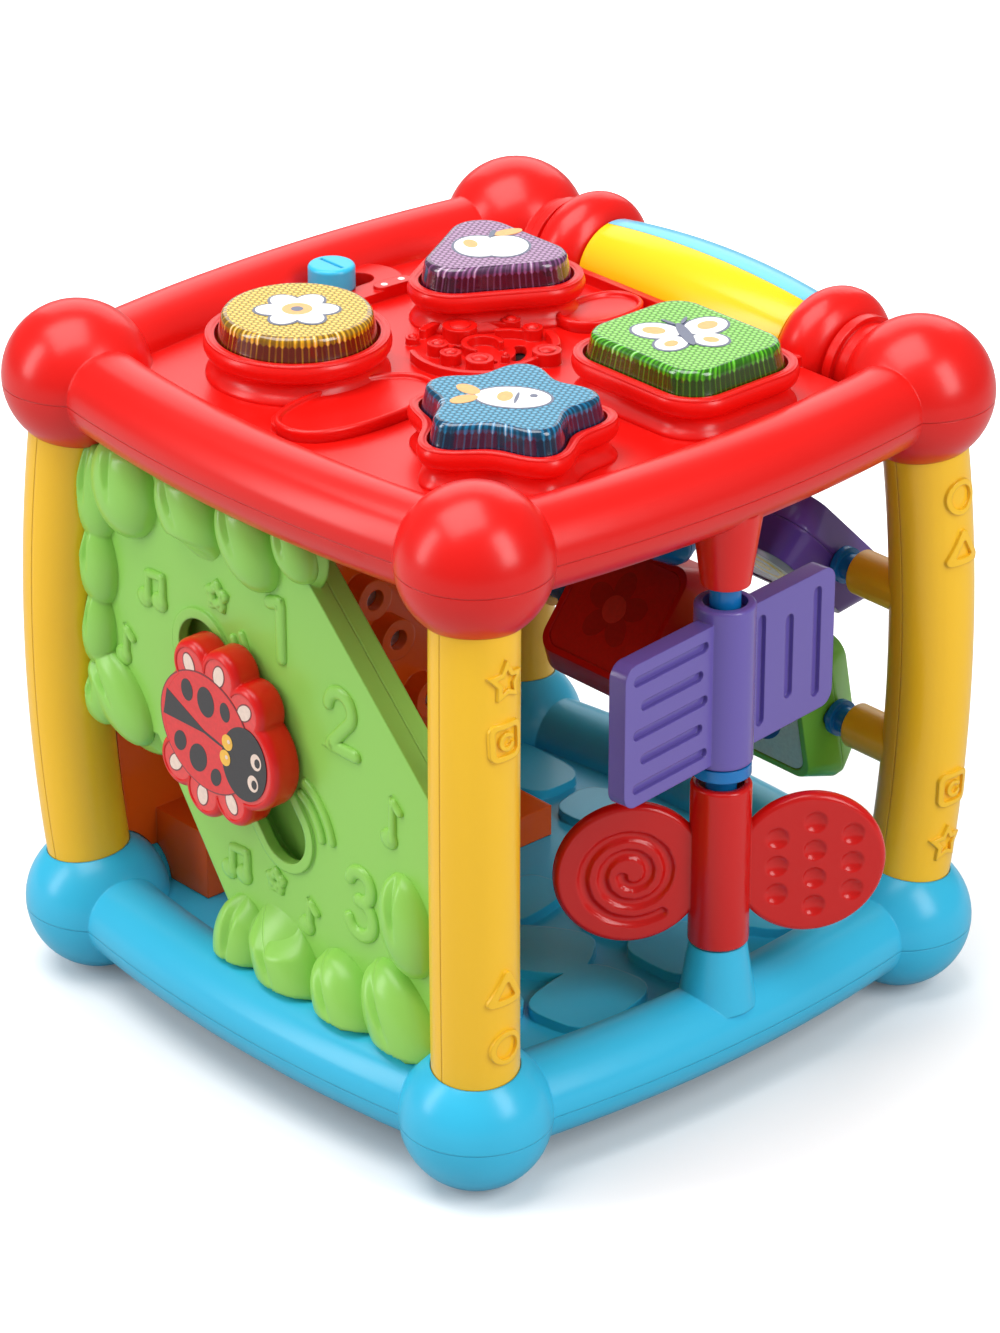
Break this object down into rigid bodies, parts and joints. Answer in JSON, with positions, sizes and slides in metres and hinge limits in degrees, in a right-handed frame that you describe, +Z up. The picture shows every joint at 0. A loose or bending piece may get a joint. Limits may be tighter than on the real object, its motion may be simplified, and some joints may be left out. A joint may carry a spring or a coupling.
{
  "type": "activity cube",
  "caption": "Free-standing activity cube: a frame of corner balls, bowed rims and posts with spinning flippers, flip tiles, a roller, a slot slider and press buttons on top",
  "frame": {"origin": "Middle of the bounding box at rest, on the surface that the four feet stand on", "axes": "+Z up; +X to the flipper face; -Y to the slider panel; +Y to the flip tiles; -X to the closed rear panel"},
  "size_m": [0.2224, 0.206, 0.206],
  "materials": {
    "red_plastic": "smooth gloss moulding",
    "sky_plastic": "smooth gloss moulding",
    "yellow_plastic": "smooth gloss moulding",
    "green_plastic": "smooth gloss moulding",
    "orange_plastic": "smooth gloss moulding",
    "purple_plastic": "smooth gloss moulding",
    "blue_plastic": "smooth gloss moulding",
    "amber_clear": "translucent, fluted sides, printed top",
    "violet_clear": "translucent, fluted sides, printed top",
    "lime_clear": "translucent, fluted sides, printed top",
    "teal_clear": "translucent, fluted sides, printed top",
    "printed_label": "printed film",
    "clear_lens": "clear lens",
    "board_laminate": "solder-mask laminate",
    "speaker_black": "plain matte",
    "dome_rubber": "moulded silicone",
    "cell_jacket": "plain jacket",
    "steel": "zinc plated"
  },
  "bodies": {
    "frame_body": {"base_lower_shell": "sky_plastic", "base_upper_shell": "sky_plastic", "base_screws": "steel", "front_post_outer": "yellow_plastic", "front_post_inner": "yellow_plastic", "right_post_outer": "yellow_plastic", "right_post_inner": "yellow_plastic", "left_post_outer": "yellow_plastic", "left_post_inner": "yellow_plastic", "back_post_outer": "yellow_plastic", "back_post_inner": "yellow_plastic", "top_lower_shell": "red_plastic", "top_upper_shell": "red_plastic", "top_screws": "steel", "battery_door": "red_plastic", "door_screw": "steel", "batteries": "cell_jacket", "battery_contacts": "steel", "circuit_board": "board_laminate", "leds": "clear_lens", "speaker": "speaker_black", "slide_switch": "steel", "round_dome": "dome_rubber", "triangle_dome": "dome_rubber", "square_dome": "dome_rubber", "star_dome": "dome_rubber", "roller_axle": "steel", "slider_panel_front": "green_plastic", "slider_panel_back": "green_plastic", "flipper_shaft": "blue_plastic", "upper_tile_shaft": "blue_plastic", "lower_tile_shaft": "blue_plastic", "rear_panel_front": "orange_plastic", "rear_panel_back": "orange_plastic", "rear_panel_screws": "steel"},
    "paddle_flipper_body": {"paddle_flipper": "purple_plastic"},
    "disc_flipper_body": {"disc_flipper": "red_plastic"},
    "tile_ur_body": {"tile_ur_front": "purple_plastic", "tile_ur_back": "purple_plastic"},
    "tile_ul_body": {"tile_ul_front": "blue_plastic", "tile_ul_back": "blue_plastic"},
    "tile_lr_body": {"tile_lr_front": "green_plastic", "tile_lr_back": "green_plastic"},
    "tile_ll_body": {"tile_ll_front": "red_plastic", "tile_ll_back": "red_plastic"},
    "roller_body": {"roller_front": "yellow_plastic", "roller_back": "sky_plastic"},
    "round_button_body": {"round_button": "amber_clear"},
    "triangle_button_body": {"triangle_button": "violet_clear"},
    "square_button_body": {"square_button": "lime_clear"},
    "star_button_body": {"star_button": "teal_clear"},
    "knob_body": {"slide_knob": "sky_plastic"},
    "slider_body_set": {"slider_body": "red_plastic", "slider_label": "printed_label", "slider_rear": "red_plastic", "slider_screw": "steel"}
  },
  "joints": [
    {"name": "paddle_spin", "type": "hinge", "parent": "frame_body", "child": "paddle_flipper_body", "pos_m": [0.0823, 0, 0.126], "axis": [0, 0, 1], "continuous": true},
    {"name": "disc_spin", "type": "hinge", "parent": "frame_body", "child": "disc_flipper_body", "pos_m": [0.0823, 0, 0.07], "axis": [0, 0, 1], "continuous": true},
    {"name": "tile_ur_spin", "type": "hinge", "parent": "frame_body", "child": "tile_ur_body", "pos_m": [0.0218, 0.082, 0.123], "axis": [1, 0, 0], "continuous": true},
    {"name": "tile_ul_spin", "type": "hinge", "parent": "frame_body", "child": "tile_ul_body", "pos_m": [-0.0382, 0.082, 0.123], "axis": [1, 0, 0], "continuous": true},
    {"name": "tile_lr_spin", "type": "hinge", "parent": "frame_body", "child": "tile_lr_body", "pos_m": [0.0218, 0.082, 0.0745], "axis": [1, 0, 0], "continuous": true},
    {"name": "tile_ll_spin", "type": "hinge", "parent": "frame_body", "child": "tile_ll_body", "pos_m": [-0.0382, 0.082, 0.0745], "axis": [1, 0, 0], "continuous": true},
    {"name": "roller_spin", "type": "hinge", "parent": "frame_body", "child": "roller_body", "pos_m": [-0.0082, 0.082, 0.185], "axis": [1, 0, 0], "continuous": true},
    {"name": "round_press", "type": "slide", "parent": "frame_body", "child": "round_button_body", "axis": [0, 0, -1], "range_m": [0, 0.0022], "stiffness_N_per_m": 400, "springref_m": -0.0015, "deforming": ["round_dome"]},
    {"name": "triangle_press", "type": "slide", "parent": "frame_body", "child": "triangle_button_body", "axis": [0, 0, -1], "range_m": [0, 0.0022], "stiffness_N_per_m": 400, "springref_m": -0.0015, "deforming": ["triangle_dome"]},
    {"name": "square_press", "type": "slide", "parent": "frame_body", "child": "square_button_body", "axis": [0, 0, -1], "range_m": [0, 0.0022], "stiffness_N_per_m": 400, "springref_m": -0.0015, "deforming": ["square_dome"]},
    {"name": "star_press", "type": "slide", "parent": "frame_body", "child": "star_button_body", "axis": [0, 0, -1], "range_m": [0, 0.0022], "stiffness_N_per_m": 400, "springref_m": -0.0015, "deforming": ["star_dome"]},
    {"name": "knob_slide", "type": "slide", "parent": "frame_body", "child": "knob_body", "axis": [0, 1, 0], "range_m": [-0.01, 0.01]},
    {"name": "slider_slide", "type": "slide", "parent": "frame_body", "child": "slider_body_set", "axis": [0.6225, 0, -0.7826], "range_m": [-0.0218, 0.0321]}
  ]
}
